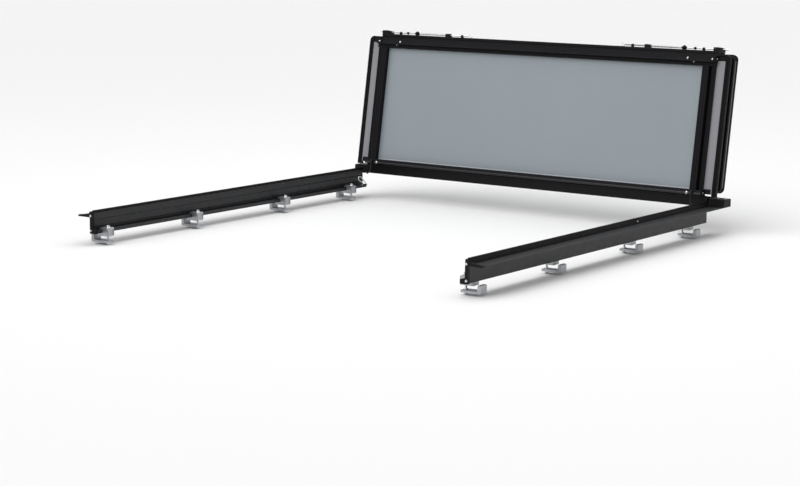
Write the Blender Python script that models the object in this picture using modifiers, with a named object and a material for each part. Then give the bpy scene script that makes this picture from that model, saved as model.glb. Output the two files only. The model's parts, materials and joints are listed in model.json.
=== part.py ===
"""Hard three-panel folding tonneau cover, folded into a stack and stood upright on its header rail.

Units are metres. The origin is the middle of the header rail's seat face. +X is the passenger side,
+Y points to the cab and +Z is up. The three panels are folded together, and the stack leans past
vertical towards the cab. Fixed pieces are drawn from the header hinge's line on the seat plane.
Panels are drawn in the frame of the hinge that carries them: x is lateral, y is the distance
through the stack (+ to the cab) and z runs up along the panels.
"""

import math

import bmesh
import bpy
from mathutils import Matrix, Vector

# ---- driving dimensions ----
LEAN = math.radians(9.4)  # how far the stack leans past vertical
PIVOT_HEIGHT = 0.037  # header hinge above the seat plane
HINGE_Y = -0.030  # header hinge from the middle of the header's seat
GAP = 0.0003  # clearance between pieces that touch

HALF_WIDTH = 0.842  # half of the full panel width
TRIM_WIDTH = 0.019
TRIM_CORNER = 0.018
TRIM_PROUD = 0.0035  # how far a trim stands above the panel skin
CORE = 0.012  # thickness of a panel's sandwich core
BAR_DEPTH = 0.0217  # how far the frame bars stand below the core
SIDE_BAR_IN = 0.738  # inner face of a side bar
SIDE_BAR_WIDTH = 0.027
SIDE_BAR_FLANGE = 0.023
CROSS_BAR_HALF = 0.790  # half length of a cross bar
WALL = 0.003
LIP = 0.0012  # how far an edge lip stands above the panel skin

FRONT_LENGTH = 0.538  # header hinge to wide hinge
SPACER_PITCH = 0.040  # between the two axes of the wide hinge
MIDDLE_LENGTH = 0.520  # wide hinge to fold hinge
FOLD_OFFSET = 0.0016  # fold hinge axis above the skins
REAR_END = 0.508  # fold hinge to the tail end of the rear panel

BEAD_RADIUS = 0.0037
SOCKET_IN = 0.0040
SOCKET_OUT = 0.0065
NECK_HALF = 0.0013
NECK_ROOM = 24.0  # free angle each side of a neck, degrees
END_WALL = 0.0055  # from a hinge axis to the outer face of an end wall

RAIL_START = -0.0223
RAIL_END = -1.650
WEB_IN = 0.8085
WEB_OUT = 0.8125
WEB_TOP = 0.0185
WEB_BOTTOM = -0.058
FLANGE_OUT = 0.870
FLANGE_THICK = 0.003
LEDGE_IN = 0.788
CLAMP_PLACES = (-0.146, -0.588, -1.120, -1.610)
CLAMP_HALF = 0.018
BOLT_X = 0.7755
BOLT_RADIUS = 0.004
BOLT_HOLE = 0.0043
JAW_FOOT = -0.094  # underside of a clamp jaw

ROD_HEIGHT = 0.0250  # latch rod centre above the wide hinge axis
ROD_RADIUS = 0.0025
ROD_TIP = 0.8145
ROD_INNER = 0.365
GUIDE_X = 0.468
COLLAR_X = 0.626
HOOK_X = 0.7515
HOOK_Z = 0.014


# ---- scene ----
def clear_scene():
    """Removes every object, and the meshes and materials that nothing uses any more."""
    for item in list(bpy.data.objects):
        bpy.data.objects.remove(item, do_unlink=True)
    for store in (bpy.data.meshes, bpy.data.curves, bpy.data.materials):
        for block in list(store):
            if block.users == 0:
                store.remove(block)


clear_scene()
PARTS = bpy.data.collections.new("tonneau_cover")
CUTTERS = bpy.data.collections.new("tonneau_cover_cutters")
bpy.context.scene.collection.children.link(PARTS)
bpy.context.scene.collection.children.link(CUTTERS)

FINISHES = {
    "satin_black": ((0.012, 0.012, 0.014), 0.42, 0.7),
    "panel_skin": ((0.30, 0.34, 0.37), 0.45, 0.2),
    "rubber": ((0.008, 0.008, 0.008), 0.75, 0.0),
    "moulded_plastic": ((0.015, 0.015, 0.016), 0.55, 0.0),
    "zinc_steel": ((0.62, 0.63, 0.65), 0.30, 1.0),
    "cast_aluminium": ((0.42, 0.43, 0.45), 0.45, 0.8),
}


def finish(item, kind):
    """Gives the object its own Principled material of the named finish."""
    colour, roughness, metallic = FINISHES[kind]
    material = bpy.data.materials.new(item.name + "_" + kind)
    material.use_nodes = True
    shader = material.node_tree.nodes["Principled BSDF"]
    shader.inputs["Base Color"].default_value = (*colour, 1.0)
    shader.inputs["Roughness"].default_value = roughness
    shader.inputs["Metallic"].default_value = metallic
    item.data.materials.clear()
    item.data.materials.append(material)


def axis_empty(name, place, parent=None, tilt=0.0):
    """An empty on a joint's axis, which carries the pieces that turn about it."""
    empty = bpy.data.objects.new(name, None)
    empty.empty_display_size = 0.05
    empty.location = place
    empty.rotation_euler = (tilt, 0.0, 0.0)
    empty.parent = parent
    PARTS.objects.link(empty)
    return empty


# ---- outlines ----
def polar(centre, radius, degrees):
    """The point at that angle on a circle, measured from the first axis towards the second."""
    angle = math.radians(degrees)
    return (centre[0] + radius * math.cos(angle), centre[1] + radius * math.sin(angle))


def arc(centre, radius, start, end, step=15.0):
    """Points along an arc from start to end, in degrees, both ends included."""
    count = max(2, math.ceil(abs(end - start) / step))
    return [polar(centre, radius, start + (end - start) * i / count) for i in range(count + 1)]


def box_outline(low, high):
    """The four corners of a rectangle."""
    return [(low[0], low[1]), (high[0], low[1]), (high[0], high[1]), (low[0], high[1])]


def flip_first(points):
    """The outline mirrored in its first coordinate, still running the same way round."""
    return [(-a, b) for a, b in reversed(points)]


def shift(points, by):
    """The outline moved by a pair of distances."""
    return [(a + by[0], b + by[1]) for a, b in points]


def bead_points(centre, neck):
    """The bead of a hinge, from one side of its neck round to the other, the neck at that angle."""
    side = math.degrees(math.asin(NECK_HALF / BEAD_RADIUS))
    return arc(centre, BEAD_RADIUS, neck + side, neck + 360.0 - side)


# ---- solids ----
AXES = {
    "X": Matrix(((0, 0, 1), (1, 0, 0), (0, 1, 0))),  # outline in Y, Z
    "Y": Matrix(((1, 0, 0), (0, 0, -1), (0, 1, 0))),  # outline in X, Z
    "Z": Matrix(((1, 0, 0), (0, 1, 0), (0, 0, 1))),  # outline in X, Y
}


def link(item, parent):
    """Puts a part in the part collection under its parent empty."""
    item.parent = parent
    PARTS.objects.link(item)
    return item


def extrusion(name, outlines, along, start, end):
    """A closed mesh object: the first outline, less the others, drawn along an axis."""
    curve = bpy.data.curves.new(name, "CURVE")
    curve.dimensions = "2D"
    curve.fill_mode = "BOTH"
    curve.extrude = abs(end - start) / 2
    for points in outlines:
        spline = curve.splines.new("POLY")
        spline.points.add(len(points) - 1)
        for place, (a, b) in zip(spline.points, points):
            place.co = (a, b, 0.0, 1.0)
        spline.use_cyclic_u = True
    shape = bpy.data.objects.new(name + "_outline", curve)
    bpy.context.scene.collection.objects.link(shape)
    evaluated = shape.evaluated_get(bpy.context.evaluated_depsgraph_get())
    mesh = bpy.data.meshes.new_from_object(evaluated)
    bpy.data.objects.remove(shape)
    bpy.data.curves.remove(curve)
    work = bmesh.new()
    work.from_mesh(mesh)
    bmesh.ops.remove_doubles(work, verts=work.verts, dist=0.00001)
    offset = {"X": Vector((1, 0, 0)), "Y": Vector((0, 1, 0)), "Z": Vector((0, 0, 1))}[along]
    bmesh.ops.transform(work, matrix=AXES[along].to_4x4(), verts=work.verts)
    bmesh.ops.translate(work, vec=offset * ((start + end) / 2), verts=work.verts)
    bmesh.ops.recalc_face_normals(work, faces=work.faces)
    work.to_mesh(mesh)
    work.free()
    mesh.name = name
    return bpy.data.objects.new(name, mesh)


def cylinder(name, radius, start, end, along, centre, sides=20):
    """A closed cylinder between two places along an axis, centred on the two other coordinates."""
    work = bmesh.new()
    bmesh.ops.create_cone(
        work, cap_ends=True, segments=sides, radius1=radius, radius2=radius, depth=end - start
    )
    bmesh.ops.transform(work, matrix=AXES[along].to_4x4(), verts=work.verts)
    middle = (start + end) / 2
    place = {
        "X": (middle, centre[0], centre[1]),
        "Y": (centre[0], middle, centre[1]),
        "Z": (centre[0], centre[1], middle),
    }[along]
    bmesh.ops.translate(work, vec=place, verts=work.verts)
    bmesh.ops.recalc_face_normals(work, faces=work.faces)
    mesh = bpy.data.meshes.new(name)
    work.to_mesh(mesh)
    work.free()
    return bpy.data.objects.new(name, mesh)


def smooth(item, degrees=35.0):
    """Shades round faces smooth and keeps the corners sharp."""
    item.data.shade_smooth()
    item.data.set_sharp_from_angle(angle=math.radians(degrees))


def hide_tool(tool, parent):
    """Stores a cutter or an added shape outside the part collection, hidden from the render."""
    tool.hide_render = True
    tool.display_type = "WIRE"
    tool.parent = parent
    CUTTERS.objects.link(tool)


def boolean(item, tool, operation):
    """Cuts the tool from the item, or joins it on, with the exact solver."""
    hide_tool(tool, item.parent)
    modifier = item.modifiers.new(tool.name, "BOOLEAN")
    modifier.operation = operation
    modifier.solver = "EXACT"
    modifier.object = tool


def rounded(item, width, segments=2):
    """Rounds the sharp edges of a plain solid."""
    bevel = item.modifiers.new("rounded_edges", "BEVEL")
    bevel.width = width
    bevel.segments = segments
    bevel.limit_method = "ANGLE"
    bevel.angle_limit = math.radians(40)
    bevel.use_clamp_overlap = True


def mirror_name(name, side):
    """The name with its side, which is +1 for right and -1 for left."""
    return name + ("_right" if side > 0 else "_left")


def sided(points, side):
    """An outline in x and something, on the right or mirrored to the left."""
    return points if side > 0 else flip_first(points)


def spread(side, low, high):
    """A span on the right side, or the same span mirrored to the left, low end first."""
    return (low, high) if side > 0 else (-high, -low)


# ---- fixed rails ----
def side_rail(side, base):
    """The bed-side extrusion: a seat flange, a web that stands up to the seal and a ledge for the clamps."""
    outline = [
        (LEDGE_IN, WEB_BOTTOM),
        (WEB_OUT, WEB_BOTTOM),
        (WEB_OUT, 0.0),
        (FLANGE_OUT, 0.0),
        (FLANGE_OUT, FLANGE_THICK),
        (WEB_OUT, FLANGE_THICK),
        (WEB_OUT, WEB_TOP),
        (WEB_IN, WEB_TOP),
        (WEB_IN, WEB_BOTTOM + 0.004),
        (LEDGE_IN + WALL, WEB_BOTTOM + 0.004),
        (LEDGE_IN + WALL, WEB_BOTTOM + 0.012),
        (LEDGE_IN, WEB_BOTTOM + 0.012),
    ]
    name = mirror_name("side_rail", side)
    rail = link(extrusion(name, [sided(outline, side)], "Y", RAIL_END, RAIL_START), base)
    low, high = spread(side, WEB_IN - 0.004, WEB_OUT + 0.004)
    slot_y = -(FRONT_LENGTH + SPACER_PITCH / 2)
    slot_z = PIVOT_HEIGHT - ROD_HEIGHT
    slot = extrusion(
        name + "_strike_slot",
        [box_outline((slot_y - 0.008, slot_z - 0.0030), (slot_y + 0.008, slot_z + 0.0030))],
        "X",
        low,
        high,
    )
    boolean(rail, slot, "DIFFERENCE")
    finish(rail, "satin_black")


def rail_seal(side, base):
    """The bulb seal on top of the web, which the closed panels press on."""
    foot = WEB_TOP + GAP
    top = PIVOT_HEIGHT - CORE - GAP
    outline = [(0.8040, foot), (0.8170, foot), (0.8170, foot + 0.0025)]
    outline += arc((0.8105, foot + 0.0025), 0.0065, 30.0, 150.0, 30.0)
    outline += [(0.8040, foot + 0.0025)]
    outline = [(a, min(b, top)) for a, b in outline]
    name = mirror_name("rail_seal", side)
    seal = link(extrusion(name, [sided(outline, side)], "Y", RAIL_END, RAIL_START), base)
    smooth(seal)
    finish(seal, "rubber")


def rail_end_cap(side, base):
    """The moulded cap that closes the tail end of a side rail."""
    outline = [
        (LEDGE_IN - 0.001, WEB_BOTTOM - 0.001),
        (WEB_OUT + 0.002, WEB_BOTTOM - 0.001),
        (WEB_OUT + 0.002, 0.0),
        (FLANGE_OUT + 0.001, 0.0),
        (FLANGE_OUT + 0.001, 0.006),
        (WEB_OUT + 0.006, 0.012),
        (WEB_OUT + 0.002, WEB_TOP + 0.003),
        (WEB_IN - 0.002, WEB_TOP + 0.003),
        (WEB_IN - 0.004, -0.040),
        (LEDGE_IN - 0.001, -0.044),
    ]
    name = mirror_name("rail_end_cap", side)
    cap = link(
        extrusion(name, [sided(outline, side)], "Y", RAIL_END - 0.014, RAIL_END - GAP), base
    )
    finish(cap, "moulded_plastic")


def header_rail(base):
    """The cab-end extrusion: a hollow box, and a web that carries the bead the front panel turns on."""
    centre = (0.0, PIVOT_HEIGHT)
    outline = [
        (-0.003, 0.0),
        (0.062, 0.0),
        (0.062, 0.030),
        (0.012, 0.030),
        (0.012, 0.004),
        (NECK_HALF, 0.004),
    ]
    outline += bead_points(centre, 270.0)
    outline += [(-NECK_HALF, 0.004), (-0.003, 0.004)]
    hollow = box_outline((0.012 + WALL, WALL), (0.062 - WALL, 0.030 - WALL))
    rail = link(extrusion("header_rail", [outline, hollow], "X", -0.800, 0.800), base)
    smooth(rail)
    finish(rail, "satin_black")


def corner_bracket(side, base):
    """The moulded corner that joins the header rail to a side rail."""
    outline = [
        (RAIL_START + GAP, 0.0),
        (0.062, 0.0),
        (0.062, 0.030),
        (0.007, 0.030),
        (0.003, 0.004),
        (RAIL_START + GAP, 0.004),
    ]
    low, high = spread(side, 0.8003, FLANGE_OUT)
    name = mirror_name("corner_bracket", side)
    bracket = link(extrusion(name, [outline], "X", low, high), base)
    rounded(bracket, 0.0012)
    finish(bracket, "moulded_plastic")


# ---- clamps ----
def clamp_body(side, index, place, base):
    """The cast block that hooks on the rail's ledge and guides the clamp bolt."""
    hook_in = LEDGE_IN + WALL + GAP
    outline = [
        (0.764, -0.070),
        (WEB_OUT, -0.070),
        (WEB_OUT, WEB_BOTTOM - GAP),
        (LEDGE_IN - GAP, WEB_BOTTOM - GAP),
        (LEDGE_IN - GAP, -0.0457),
        (hook_in, -0.0457),
        (hook_in, WEB_BOTTOM + 0.004 + GAP),
        (0.800, WEB_BOTTOM + 0.004 + GAP),
        (0.800, -0.042),
        (0.797, -0.039),
        (0.767, -0.039),
        (0.764, -0.042),
    ]
    name = "%s_%d" % (mirror_name("clamp_body", side), index)
    ends = (place - CLAMP_HALF, place + CLAMP_HALF)
    body = link(extrusion(name, [sided(outline, side)], "Y", *ends), base)
    hole = cylinder(name + "_hole", BOLT_HOLE, -0.090, -0.030, "Z", (side * BOLT_X, place), 16)
    boolean(body, hole, "DIFFERENCE")
    finish(body, "cast_aluminium")


def clamp_jaw(side, index, parent):
    """The lower jaw: it slides up the bolt and grips the bed flange against the rail."""
    foot = JAW_FOOT
    outline = [
        (0.766, foot),
        (0.839, foot),
        (0.842, foot + 0.003),
        (0.842, foot + 0.028),
        (0.838, foot + 0.028),
        (0.836, foot + 0.0255),
        (0.834, foot + 0.028),
        (0.831, foot + 0.028),
        (0.828, foot + 0.008),
        (0.766, foot + 0.008),
    ]
    name = "%s_%d" % (mirror_name("clamp_jaw", side), index)
    local = shift(sided(outline, side), (-side * BOLT_X, 0.0))
    jaw = link(extrusion(name, [local], "Y", -CLAMP_HALF, CLAMP_HALF), parent)
    hole = cylinder(name + "_hole", BOLT_HOLE, foot - 0.01, foot + 0.02, "Z", (0.0, 0.0), 16)
    boolean(jaw, hole, "DIFFERENCE")
    finish(jaw, "cast_aluminium")


def clamp_bolt(side, index, parent):
    """The bolt that draws the jaw up: a hexagon head below the jaw and a shank through the body."""
    name = "%s_%d" % (mirror_name("clamp_bolt", side), index)
    head_top = JAW_FOOT - GAP
    shank = link(cylinder(name, BOLT_RADIUS, head_top - 0.003, -0.030, "Z", (0.0, 0.0), 16), parent)
    head = cylinder(name + "_head", 0.0075, head_top - 0.0065, head_top, "Z", (0.0, 0.0), 6)
    boolean(shank, head, "UNION")
    smooth(shank)
    finish(shank, "zinc_steel")


# ---- panel pieces ----
def panel_skin(name, parent, low, high, half_width, surface, under):
    """The sandwich panel. under is -1 where the underside faces -y and +1 where it faces +y."""
    inner, outer = sorted((surface, surface + under * CORE))
    outline = box_outline((-half_width, inner), (half_width, outer))
    skin = link(extrusion(name, [outline], "Z", low, high), parent)
    rounded(skin, 0.0008, 1)
    finish(skin, "panel_skin")


def depth_outline(points, surface, under):
    """An outline given as depth below the skin and z, turned into y and z."""
    turned = [(surface + under * d, z) for d, z in points]
    return turned if under > 0 else list(reversed(turned))


def side_bar(name, side, parent, low, high, surface, under):
    """A channel under the panel's side, its flange on the skin."""
    top = CORE + GAP
    bottom = CORE + BAR_DEPTH
    inner = SIDE_BAR_IN
    outer = SIDE_BAR_IN + SIDE_BAR_WIDTH
    flange = outer + SIDE_BAR_FLANGE
    points = [
        (inner, top),
        (inner, bottom),
        (outer, bottom),
        (outer, top + WALL),
        (flange, top + WALL),
        (flange, top),
        (outer - WALL, top),
        (outer - WALL, bottom - WALL),
        (inner + WALL, bottom - WALL),
        (inner + WALL, top),
    ]
    outline = [(side * x, surface + under * d) for x, d in points]
    if side * under > 0:
        outline.reverse()
    bar = link(extrusion(mirror_name(name, side), [outline], "Z", low, high), parent)
    finish(bar, "satin_black")


def socket_end(centre, outward, opening, lower_steps, surface, under):
    """The outline of an end bar with a hinge socket, in y and z.

    outward is +1 where the socket is above the bar and -1 where it is below. opening is the
    gap of the socket as two angles. lower_steps are the depth and distance pairs of the bar's
    underside, from the end wall inwards.
    """
    wall_z = centre[1] - outward * END_WALL
    bar_top = CORE + GAP
    far = lower_steps[-1][1]
    core_z = centre[1] - outward * (END_WALL + 0.004)
    path = []
    path.append((CORE + BAR_DEPTH, wall_z))
    for depth, distance in lower_steps:
        path.append((depth, centre[1] - outward * distance))
    path.append((bar_top, centre[1] - outward * far))
    path.append((bar_top, core_z))
    path.append((-GAP, core_z))
    path.append((-GAP, centre[1] - outward * 0.0205))
    path.append((-LIP, centre[1] - outward * 0.0205))
    body = [(surface + under * d, z) for d, z in path]
    left = math.degrees(math.acos(-math.sqrt(1 - (END_WALL / SOCKET_OUT) ** 2)))
    right = math.degrees(math.acos(LIP / SOCKET_OUT))
    ring_start, ring_end = opening[1], opening[0] + 360.0
    under_angle = -outward * left if under < 0 else 180.0 + outward * left
    lip_angle = -outward * right if under < 0 else 180.0 + outward * right
    return body, ring_start, ring_end, under_angle, lip_angle


def between(angle, low):
    """The angle as the first value at or above low."""
    while angle < low:
        angle += 360.0
    while angle >= low + 360.0:
        angle -= 360.0
    return angle


def socket_bar(name, parent, centre, outward, opening, lower_steps, surface, under, hollow):
    """A cross bar that holds the panel's end, with a hinge socket along its outer edge."""
    body, start, end, under_angle, lip_angle = socket_end(
        centre, outward, opening, lower_steps, surface, under
    )
    under_angle = between(under_angle, start)
    lip_angle = between(lip_angle, start)
    first, second = sorted((under_angle, lip_angle))
    if lip_angle < under_angle:
        body = list(reversed(body))
    outline = arc(centre, SOCKET_OUT, start, first)
    outline += body
    outline += arc(centre, SOCKET_OUT, second, end)
    outline += arc(centre, SOCKET_IN, end, start)
    splines = [outline]
    if hollow:
        splines.append(hollow)
    bar = link(extrusion(name, splines, "X", -CROSS_BAR_HALF, CROSS_BAR_HALF), parent)
    smooth(bar)
    finish(bar, "satin_black")


def edge_trim(side, parent):
    """The rubber edge of the front panel's side. It turns the upper corner and returns to the hinge bar."""
    inner = HALF_WIDTH - TRIM_WIDTH + GAP
    outer = HALF_WIDTH
    top = FRONT_LENGTH + 0.004
    ledge = FRONT_LENGTH - END_WALL - 0.004
    corner = (outer - TRIM_CORNER, top - TRIM_CORNER)
    points = [(inner, 0.0), (outer, 0.0)]
    points += arc(corner, TRIM_CORNER, 0.0, 90.0)
    points += [(CROSS_BAR_HALF + 0.0006, top), (CROSS_BAR_HALF + 0.0006, ledge), (inner, ledge)]
    name = mirror_name("front_panel_trim", side)
    trim = link(extrusion(name, [sided(points, side)], "Y", -CORE + GAP, TRIM_PROUD), parent)
    smooth(trim)
    finish(trim, "rubber")


def bar_hollow(centre, outward, near, far, surface, under):
    """The hollow of a cross bar, between two distances from the hinge axis."""
    low_depth = CORE + GAP + WALL
    high_depth = CORE + BAR_DEPTH - WALL
    ys = sorted((surface + under * low_depth, surface + under * high_depth))
    zs = sorted((centre[1] - outward * near, centre[1] - outward * far))
    return box_outline((ys[0], zs[0]), (ys[1], zs[1]))


# ---- front panel ----
def front_panel(lift):
    """The cab-end panel with its frame bars, sockets and edge trims."""
    bottom = CORE + BAR_DEPTH
    skin_low = END_WALL + 0.004 + GAP
    skin_high = FRONT_LENGTH - END_WALL - 0.004 - GAP
    skin_half = HALF_WIDTH - TRIM_WIDTH
    panel_skin("front_panel_skin", lift, skin_low, skin_high, skin_half, 0.0, -1)

    closed_neck = 180.0
    open_neck = 270.0 + math.degrees(LEAN)
    socket_bar(
        "front_panel_header_bar",
        lift,
        (0.0, 0.0),
        -1,
        (closed_neck - NECK_ROOM, open_neck + NECK_ROOM),
        [(bottom, 0.0225)],
        0.0,
        -1,
        bar_hollow((0.0, 0.0), -1, 0.0085, 0.0195, 0.0, -1),
    )
    top = (0.0, FRONT_LENGTH)
    socket_bar(
        "front_panel_hinge_bar",
        lift,
        top,
        1,
        (90.0 - NECK_ROOM, 180.0 + NECK_ROOM),
        [(bottom, 0.0285), (bottom - 0.010, 0.0285), (bottom - 0.010, 0.0440)],
        0.0,
        -1,
        bar_hollow(top, 1, 0.0085, 0.0255, 0.0, -1),
    )
    for side in (-1, 1):
        side_bar("front_panel_side_bar", side, lift, 0.0228, FRONT_LENGTH - 0.0443, 0.0, -1)
        edge_trim(side, lift)


def stay_hook(side, parent):
    """The bent rod that hangs from the front panel's lower corner and hooks the open stack to the rail."""
    name = mirror_name("stay_hook", side)
    depth = -(CORE + BAR_DEPTH + 0.0066)
    rod = 0.0026
    curve = bpy.data.curves.new(name, "CURVE")
    curve.dimensions = "3D"
    curve.bevel_depth = rod
    curve.bevel_resolution = 2
    curve.use_fill_caps = True
    route = [(0.0, 0.0), (0.0, -0.030), (side * 0.003, -0.040), (side * 0.010, -0.052)]
    route += [(side * 0.017, -0.054), (side * 0.021, -0.048)]
    spline = curve.splines.new("POLY")
    spline.points.add(len(route) - 1)
    for point, (x, z) in zip(spline.points, route):
        point.co = (x, depth, z, 1.0)
    shape = bpy.data.objects.new(name + "_route", curve)
    bpy.context.scene.collection.objects.link(shape)
    evaluated = shape.evaluated_get(bpy.context.evaluated_depsgraph_get())
    mesh = bpy.data.meshes.new_from_object(evaluated)
    bpy.data.objects.remove(shape)
    bpy.data.curves.remove(curve)
    work = bmesh.new()
    work.from_mesh(mesh)
    bmesh.ops.remove_doubles(work, verts=work.verts, dist=0.00001)
    bmesh.ops.recalc_face_normals(work, faces=work.faces)
    work.to_mesh(mesh)
    work.free()
    hook = link(bpy.data.objects.new(name, mesh), parent)
    face = -(CORE + BAR_DEPTH + GAP)
    eye = cylinder(name + "_eye", 0.0062, depth - 0.0032, face, "Y", (0.0, 0.0), 20)
    boolean(hook, eye, "UNION")
    smooth(hook)
    finish(hook, "satin_black")


# ---- wide hinge ----
def hinge_spacer(parent):
    """The wide hinge: two beads on one extrusion, as far apart as the folded rear panel needs."""
    plate_low = 0.0075
    plate_high = 0.0145
    outline = [(-0.005, plate_low), (-NECK_HALF, plate_low)]
    outline += bead_points((0.0, 0.0), 90.0)
    outline += [(NECK_HALF, plate_low), (0.008, plate_low), (0.008, 0.0)]
    outline += [(SPACER_PITCH - 0.008, 0.0), (SPACER_PITCH - 0.008, plate_low)]
    outline += [(SPACER_PITCH - NECK_HALF, plate_low)]
    outline += bead_points((SPACER_PITCH, 0.0), 90.0)
    outline += [(SPACER_PITCH + NECK_HALF, plate_low), (SPACER_PITCH + 0.005, plate_low)]
    outline += [(SPACER_PITCH + 0.005, plate_high), (-0.005, plate_high)]
    hollow = box_outline((0.011, WALL), (SPACER_PITCH - 0.011, 0.0115))
    spacer = link(extrusion("wide_hinge_spacer", [outline, hollow], "X", -0.788, 0.788), parent)
    smooth(spacer)
    finish(spacer, "satin_black")


def rod_support(name, side, low, high, width, parent):
    """A bored block on the spacer that a latch rod slides in."""
    middle = SPACER_PITCH / 2
    base = 0.0145 + GAP
    outline = [
        (middle - width / 2, base),
        (middle + width / 2, base),
        (middle + width / 2, ROD_HEIGHT + 0.003),
        (middle + width / 2 - 0.003, ROD_HEIGHT + 0.006),
        (middle - width / 2 + 0.003, ROD_HEIGHT + 0.006),
        (middle - width / 2, ROD_HEIGHT + 0.003),
    ]
    ends = spread(side, low, high)
    name = mirror_name(name, side)
    block = link(extrusion(name, [outline], "X", *ends), parent)
    bore = cylinder(
        name + "_bore",
        ROD_RADIUS + GAP,
        ends[0] - 0.01,
        ends[1] + 0.01,
        "X",
        (middle, ROD_HEIGHT),
        16,
    )
    boolean(block, bore, "DIFFERENCE")
    finish(block, "moulded_plastic")


def latch_rod(side, parent):
    """A spring-loaded rod with a hexagon collar to pull it back by. Its tip locks in the side rail."""
    name = mirror_name("latch_rod", side)
    ends = spread(side, ROD_INNER, ROD_TIP)
    rod = link(cylinder(name, ROD_RADIUS, ends[0], ends[1], "X", (0.0, 0.0), 16), parent)
    collar_ends = spread(side, COLLAR_X - 0.011, COLLAR_X + 0.011)
    collar = cylinder(name + "_collar", 0.0095, *collar_ends, "X", (0.0, 0.0), 6)
    boolean(rod, collar, "UNION")
    smooth(rod)
    finish(rod, "zinc_steel")


# ---- middle and rear panels ----
def knuckle_bar(name, parent, axis, surface, under, spans):
    """An end bar on the fold hinge: the bar, its end wall and pinned knuckles along it."""
    far = axis[1] + 0.0225
    wall = axis[1] + END_WALL
    points = [
        (CORE + BAR_DEPTH, wall),
        (CORE + BAR_DEPTH, far),
        (CORE + GAP, far),
        (CORE + GAP, wall + 0.004),
        (-GAP, wall + 0.004),
        (-GAP, axis[1] + 0.0205),
        (-LIP, axis[1] + 0.0205),
        (-LIP, wall),
    ]
    outline = depth_outline(points, surface, under)
    hollow = bar_hollow(axis, -1, 0.0085, 0.0195, surface, under)
    length = (-CROSS_BAR_HALF, CROSS_BAR_HALF)
    bar = link(extrusion(name, [outline, hollow], "X", *length), parent)
    for index, (low, high) in enumerate(spans):
        ys = sorted((axis[0] + under * 0.0005, axis[0] + under * 0.0040))
        leaf = extrusion(
            "%s_knuckle_%d" % (name, index),
            [knuckle_outline(axis, ys, wall + 0.002)],
            "X",
            low,
            high,
        )
        boolean(bar, leaf, "UNION")
    bore = cylinder(name + "_pin_bore", 0.0024, -0.80, 0.80, "X", axis, 16)
    boolean(bar, bore, "DIFFERENCE")
    finish(bar, "satin_black")


def knuckle_outline(axis, ys, top):
    """A knuckle: a round eye about the pin, with a leaf up into the end wall."""
    radius = 0.0046
    right = math.degrees(math.acos((ys[1] - axis[0]) / radius))
    left = math.degrees(math.acos((ys[0] - axis[0]) / radius))
    outline = arc(axis, radius, left, right + 360.0)
    outline += [(ys[1], top), (ys[0], top)]
    return outline


def folded_pair(hinge):
    """The middle and rear panels, folded skin to skin about the fold hinge at their lower ends."""
    bottom = CORE + BAR_DEPTH
    fold = (-FOLD_OFFSET, -MIDDLE_LENGTH)
    rear_surface = -2 * FOLD_OFFSET
    core_low = fold[1] + END_WALL + 0.004 + GAP
    panel_skin(
        "middle_panel_skin", hinge, core_low, -END_WALL - 0.004 - GAP, HALF_WIDTH, 0.0, 1
    )
    socket_bar(
        "middle_panel_hinge_bar",
        hinge,
        (0.0, 0.0),
        1,
        (-NECK_ROOM, 90.0 + NECK_ROOM),
        [(bottom, 0.0285)],
        0.0,
        1,
        bar_hollow((0.0, 0.0), 1, 0.0085, 0.0255, 0.0, 1),
    )
    knuckles = [(-0.780, -0.560), (-0.110, 0.110), (0.560, 0.780)]
    knuckle_bar("middle_panel_fold_bar", hinge, fold, 0.0, 1, knuckles)
    tail_z = fold[1] + REAR_END
    panel_skin(
        "rear_panel_skin", hinge, core_low, tail_z - 0.004 - GAP, HALF_WIDTH, rear_surface, -1
    )
    gaps = [(-0.5590, -0.1110), (0.1110, 0.5590)]
    knuckle_bar("rear_panel_fold_bar", hinge, fold, rear_surface, -1, gaps)
    tail = [
        (bottom, tail_z),
        (bottom, tail_z - 0.0260),
        (CORE + GAP, tail_z - 0.0260),
        (CORE + GAP, tail_z - 0.004),
        (-GAP, tail_z - 0.004),
        (-GAP, tail_z - 0.0140),
        (-LIP, tail_z - 0.0140),
        (-LIP, tail_z),
    ]
    outline = depth_outline(tail, rear_surface, -1)
    hollow = bar_hollow((0.0, tail_z), 1, 0.004, 0.022, rear_surface, -1)
    bar = link(
        extrusion("tail_bar", [outline, hollow], "X", -CROSS_BAR_HALF, CROSS_BAR_HALF), hinge
    )
    finish(bar, "satin_black")
    pin = link(cylinder("fold_hinge_pin", 0.0021, -0.778, 0.778, "X", fold, 12), hinge)
    smooth(pin)
    finish(pin, "zinc_steel")
    for side in (-1, 1):
        low = fold[1] + 0.0228
        side_bar("middle_panel_side_bar", side, hinge, low, -0.0288, 0.0, 1)
        side_bar("rear_panel_side_bar", side, hinge, low, tail_z - 0.0263, rear_surface, -1)


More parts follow.
